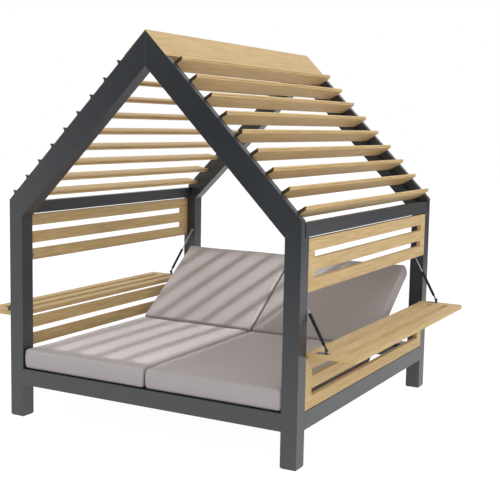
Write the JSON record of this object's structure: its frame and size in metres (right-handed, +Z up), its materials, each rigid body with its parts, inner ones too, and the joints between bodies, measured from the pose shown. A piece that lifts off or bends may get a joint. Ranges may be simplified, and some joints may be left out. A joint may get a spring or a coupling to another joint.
{
  "type": "outdoor daybed with canopy",
  "caption": "House-shaped daybed with tilting roof louvres, slatted side panels, fold-out side shelves on gas struts and reclining cushioned backrests.",
  "frame": {"origin": "on the floor, under the middle of the bed, halfway between the legs both ways", "axes": "+Z up, -Y the open front where people get in, +X the right-hand side seen from the front"},
  "size_m": [2.637, 2.084, 2.4047],
  "materials": {
    "frame": "satin powder coat",
    "support": "satin powder coat",
    "wood": "light, oiled, satin",
    "fabric": "woven outdoor cloth",
    "steel": "bright",
    "tube": "black enamel"
  },
  "bodies": {
    "frame": {"front_left_leg": "frame", "front_left_rafter": "frame", "rear_left_leg": "frame", "rear_left_rafter": "frame", "left_eave_rail": "frame", "left_side_rail": "frame", "left_bearer": "frame", "left_lower_panel": "wood", "left_upper_panel": "wood", "left_seat_cushion": "fabric", "front_right_leg": "frame", "front_right_rafter": "frame", "rear_right_leg": "frame", "rear_right_rafter": "frame", "right_eave_rail": "frame", "right_side_rail": "frame", "right_bearer": "frame", "right_lower_panel": "wood", "right_upper_panel": "wood", "right_seat_cushion": "fabric", "front_bed_rail": "frame", "rear_bed_rail": "frame", "ridge_cap": "wood", "seat_deck": "support", "backrest_hinge_rod": "steel"},
    "left_louvre_1": {"left_louvre_1": "wood"},
    "left_louvre_2": {"left_louvre_2": "wood"},
    "left_louvre_3": {"left_louvre_3": "wood"},
    "left_louvre_4": {"left_louvre_4": "wood"},
    "left_louvre_5": {"left_louvre_5": "wood"},
    "left_louvre_6": {"left_louvre_6": "wood"},
    "left_louvre_7": {"left_louvre_7": "wood"},
    "left_louvre_8": {"left_louvre_8": "wood"},
    "left_louvre_9": {"left_louvre_9": "wood"},
    "right_louvre_1": {"right_louvre_1": "wood"},
    "right_louvre_2": {"right_louvre_2": "wood"},
    "right_louvre_3": {"right_louvre_3": "wood"},
    "right_louvre_4": {"right_louvre_4": "wood"},
    "right_louvre_5": {"right_louvre_5": "wood"},
    "right_louvre_6": {"right_louvre_6": "wood"},
    "right_louvre_7": {"right_louvre_7": "wood"},
    "right_louvre_8": {"right_louvre_8": "wood"},
    "right_louvre_9": {"right_louvre_9": "wood"},
    "left_flap": {"left_flap": "wood"},
    "left_front_strut_tube": {"left_front_strut_tube": "tube"},
    "left_front_strut_rod": {"left_front_strut_rod": "steel"},
    "left_rear_strut_tube": {"left_rear_strut_tube": "tube"},
    "left_rear_strut_rod": {"left_rear_strut_rod": "steel"},
    "right_flap": {"right_flap": "wood"},
    "right_front_strut_tube": {"right_front_strut_tube": "tube"},
    "right_front_strut_rod": {"right_front_strut_rod": "steel"},
    "right_rear_strut_tube": {"right_rear_strut_tube": "tube"},
    "right_rear_strut_rod": {"right_rear_strut_rod": "steel"},
    "left_backrest": {"left_backrest": "support"},
    "left_back_cushion": {"left_back_cushion": "fabric"},
    "left_prop_stay": {"left_prop_stay": "steel"},
    "right_backrest": {"right_backrest": "support"},
    "right_back_cushion": {"right_back_cushion": "fabric"},
    "right_prop_stay": {"right_prop_stay": "steel"}
  },
  "joints": [
    {"name": "left_louvre_1_turn", "type": "hinge", "parent": "frame", "child": "left_louvre_1", "pos_m": [-0.17395, 0, 2.21757], "axis": [0, 1, 0], "range_deg": [-10.5, 44.5]},
    {"name": "left_louvre_2_turn", "type": "hinge", "parent": "frame", "child": "left_louvre_2", "pos_m": [-0.27393, 0, 2.11758], "axis": [0, 1, 0], "range_deg": [-10.5, 44.5]},
    {"name": "left_louvre_3_turn", "type": "hinge", "parent": "frame", "child": "left_louvre_3", "pos_m": [-0.37392, 0, 2.0176], "axis": [0, 1, 0], "range_deg": [-10.5, 44.5]},
    {"name": "left_louvre_4_turn", "type": "hinge", "parent": "frame", "child": "left_louvre_4", "pos_m": [-0.4739, 0, 1.91761], "axis": [0, 1, 0], "range_deg": [-10.5, 44.5]},
    {"name": "left_louvre_5_turn", "type": "hinge", "parent": "frame", "child": "left_louvre_5", "pos_m": [-0.57389, 0, 1.81763], "axis": [0, 1, 0], "range_deg": [-10.5, 44.5]},
    {"name": "left_louvre_6_turn", "type": "hinge", "parent": "frame", "child": "left_louvre_6", "pos_m": [-0.67387, 0, 1.71764], "axis": [0, 1, 0], "range_deg": [-10.5, 44.5]},
    {"name": "left_louvre_7_turn", "type": "hinge", "parent": "frame", "child": "left_louvre_7", "pos_m": [-0.77386, 0, 1.61766], "axis": [0, 1, 0], "range_deg": [-10.5, 44.5]},
    {"name": "left_louvre_8_turn", "type": "hinge", "parent": "frame", "child": "left_louvre_8", "pos_m": [-0.87384, 0, 1.51767], "axis": [0, 1, 0], "range_deg": [-10.5, 44.5]},
    {"name": "left_louvre_9_turn", "type": "hinge", "parent": "frame", "child": "left_louvre_9", "pos_m": [-0.97383, 0, 1.41769], "axis": [0, 1, 0], "range_deg": [-10.5, 44.5]},
    {"name": "right_louvre_1_turn", "type": "hinge", "parent": "frame", "child": "right_louvre_1", "pos_m": [0.17395, 0, 2.21757], "axis": [0, -1, 0], "range_deg": [-32, 23]},
    {"name": "right_louvre_2_turn", "type": "hinge", "parent": "frame", "child": "right_louvre_2", "pos_m": [0.27393, 0, 2.11758], "axis": [0, -1, 0], "range_deg": [-32, 23]},
    {"name": "right_louvre_3_turn", "type": "hinge", "parent": "frame", "child": "right_louvre_3", "pos_m": [0.37392, 0, 2.0176], "axis": [0, -1, 0], "range_deg": [-32, 23]},
    {"name": "right_louvre_4_turn", "type": "hinge", "parent": "frame", "child": "right_louvre_4", "pos_m": [0.4739, 0, 1.91761], "axis": [0, -1, 0], "range_deg": [-32, 23]},
    {"name": "right_louvre_5_turn", "type": "hinge", "parent": "frame", "child": "right_louvre_5", "pos_m": [0.57389, 0, 1.81763], "axis": [0, -1, 0], "range_deg": [-32, 23]},
    {"name": "right_louvre_6_turn", "type": "hinge", "parent": "frame", "child": "right_louvre_6", "pos_m": [0.67387, 0, 1.71764], "axis": [0, -1, 0], "range_deg": [-32, 23]},
    {"name": "right_louvre_7_turn", "type": "hinge", "parent": "frame", "child": "right_louvre_7", "pos_m": [0.77386, 0, 1.61766], "axis": [0, -1, 0], "range_deg": [-32, 23]},
    {"name": "right_louvre_8_turn", "type": "hinge", "parent": "frame", "child": "right_louvre_8", "pos_m": [0.87384, 0, 1.51767], "axis": [0, -1, 0], "range_deg": [-32, 23]},
    {"name": "right_louvre_9_turn", "type": "hinge", "parent": "frame", "child": "right_louvre_9", "pos_m": [0.97383, 0, 1.41769], "axis": [0, -1, 0], "range_deg": [-32, 23]},
    {"name": "left_flap_hinge", "type": "hinge", "parent": "frame", "child": "left_flap", "pos_m": [-1.006, 0, 0.6335], "axis": [0, 1, 0], "range_deg": [0, 90]},
    {"name": "left_front_strut_foot", "type": "hinge", "parent": "left_flap", "child": "left_front_strut_tube", "pos_m": [-1.1325, -0.925, 0.668], "axis": [0, 1, 0], "range_deg": [-110.67, 0]},
    {"name": "left_front_strut_slide", "type": "slide", "parent": "left_front_strut_tube", "child": "left_front_strut_rod", "axis": [0.4934, 0, 0.8698], "range_m": [-0.1423, 0]},
    {"name": "left_rear_strut_foot", "type": "hinge", "parent": "left_flap", "child": "left_rear_strut_tube", "pos_m": [-1.1325, 0.925, 0.668], "axis": [0, 1, 0], "range_deg": [-110.67, 0]},
    {"name": "left_rear_strut_slide", "type": "slide", "parent": "left_rear_strut_tube", "child": "left_rear_strut_rod", "axis": [0.4934, 0, 0.8698], "range_m": [-0.1423, 0]},
    {"name": "right_flap_hinge", "type": "hinge", "parent": "frame", "child": "right_flap", "pos_m": [1.006, 0, 0.6335], "axis": [0, -1, 0], "range_deg": [0, 90]},
    {"name": "right_front_strut_foot", "type": "hinge", "parent": "right_flap", "child": "right_front_strut_tube", "pos_m": [1.1325, -0.925, 0.668], "axis": [0, -1, 0], "range_deg": [-110.67, 0]},
    {"name": "right_front_strut_slide", "type": "slide", "parent": "right_front_strut_tube", "child": "right_front_strut_rod", "axis": [-0.4934, 0, 0.8698], "range_m": [-0.1423, 0]},
    {"name": "right_rear_strut_foot", "type": "hinge", "parent": "right_flap", "child": "right_rear_strut_tube", "pos_m": [1.1325, 0.925, 0.668], "axis": [0, -1, 0], "range_deg": [-110.67, 0]},
    {"name": "right_rear_strut_slide", "type": "slide", "parent": "right_rear_strut_tube", "child": "right_rear_strut_rod", "axis": [-0.4934, 0, 0.8698], "range_m": [-0.1423, 0]},
    {"name": "left_backrest_hinge", "type": "hinge", "parent": "frame", "child": "left_backrest", "pos_m": [-0.46, 0.2506, 0.3035], "axis": [1, 0, 0], "range_deg": [-36.5, 0]},
    {"name": "left_back_cushion_slide", "type": "slide", "parent": "left_backrest", "child": "left_back_cushion", "axis": [0, 0.8039, 0.5948], "range_m": [-0.0837, 0]},
    {"name": "left_prop_stay_pivot", "type": "hinge", "parent": "left_backrest", "child": "left_prop_stay", "pos_m": [-0.46, 0.50603, 0.46265], "axis": [1, 0, 0], "range_deg": [0, 68.81]},
    {"name": "right_backrest_hinge", "type": "hinge", "parent": "frame", "child": "right_backrest", "pos_m": [0.46, 0.2506, 0.3035], "axis": [1, 0, 0], "range_deg": [-36.5, 0]},
    {"name": "right_back_cushion_slide", "type": "slide", "parent": "right_backrest", "child": "right_back_cushion", "axis": [0, 0.8039, 0.5948], "range_m": [-0.0837, 0]},
    {"name": "right_prop_stay_pivot", "type": "hinge", "parent": "right_backrest", "child": "right_prop_stay", "pos_m": [0.46, 0.50603, 0.46265], "axis": [1, 0, 0], "range_deg": [0, 68.81]}
  ],
  "couplings": [
    {"joint": "left_louvre_2_turn", "follows": "left_louvre_1_turn", "ratio": 1},
    {"joint": "left_louvre_3_turn", "follows": "left_louvre_1_turn", "ratio": 1},
    {"joint": "left_louvre_4_turn", "follows": "left_louvre_1_turn", "ratio": 1},
    {"joint": "left_louvre_5_turn", "follows": "left_louvre_1_turn", "ratio": 1},
    {"joint": "left_louvre_6_turn", "follows": "left_louvre_1_turn", "ratio": 1},
    {"joint": "left_louvre_7_turn", "follows": "left_louvre_1_turn", "ratio": 1},
    {"joint": "left_louvre_8_turn", "follows": "left_louvre_1_turn", "ratio": 1},
    {"joint": "left_louvre_9_turn", "follows": "left_louvre_1_turn", "ratio": 1},
    {"joint": "right_louvre_2_turn", "follows": "right_louvre_1_turn", "ratio": 1},
    {"joint": "right_louvre_3_turn", "follows": "right_louvre_1_turn", "ratio": 1},
    {"joint": "right_louvre_4_turn", "follows": "right_louvre_1_turn", "ratio": 1},
    {"joint": "right_louvre_5_turn", "follows": "right_louvre_1_turn", "ratio": 1},
    {"joint": "right_louvre_6_turn", "follows": "right_louvre_1_turn", "ratio": 1},
    {"joint": "right_louvre_7_turn", "follows": "right_louvre_1_turn", "ratio": 1},
    {"joint": "right_louvre_8_turn", "follows": "right_louvre_1_turn", "ratio": 1},
    {"joint": "right_louvre_9_turn", "follows": "right_louvre_1_turn", "ratio": 1},
    {"joint": "left_front_strut_foot", "follows": "left_flap_hinge", "ratio": -1.2296},
    {"joint": "left_front_strut_slide", "follows": "left_flap_hinge", "m_per_rad": -0.09053},
    {"joint": "left_rear_strut_foot", "follows": "left_flap_hinge", "ratio": -1.2296},
    {"joint": "left_rear_strut_slide", "follows": "left_flap_hinge", "m_per_rad": -0.09053},
    {"joint": "right_front_strut_foot", "follows": "right_flap_hinge", "ratio": -1.2296},
    {"joint": "right_front_strut_slide", "follows": "right_flap_hinge", "m_per_rad": -0.09053},
    {"joint": "right_rear_strut_foot", "follows": "right_flap_hinge", "ratio": -1.2296},
    {"joint": "right_rear_strut_slide", "follows": "right_flap_hinge", "m_per_rad": -0.09053},
    {"joint": "left_back_cushion_slide", "follows": "left_backrest_hinge", "m_per_rad": 0.13123},
    {"joint": "left_prop_stay_pivot", "follows": "left_backrest_hinge", "ratio": -1.8848},
    {"joint": "right_back_cushion_slide", "follows": "right_backrest_hinge", "m_per_rad": 0.13123},
    {"joint": "right_prop_stay_pivot", "follows": "right_backrest_hinge", "ratio": -1.8848}
  ]
}
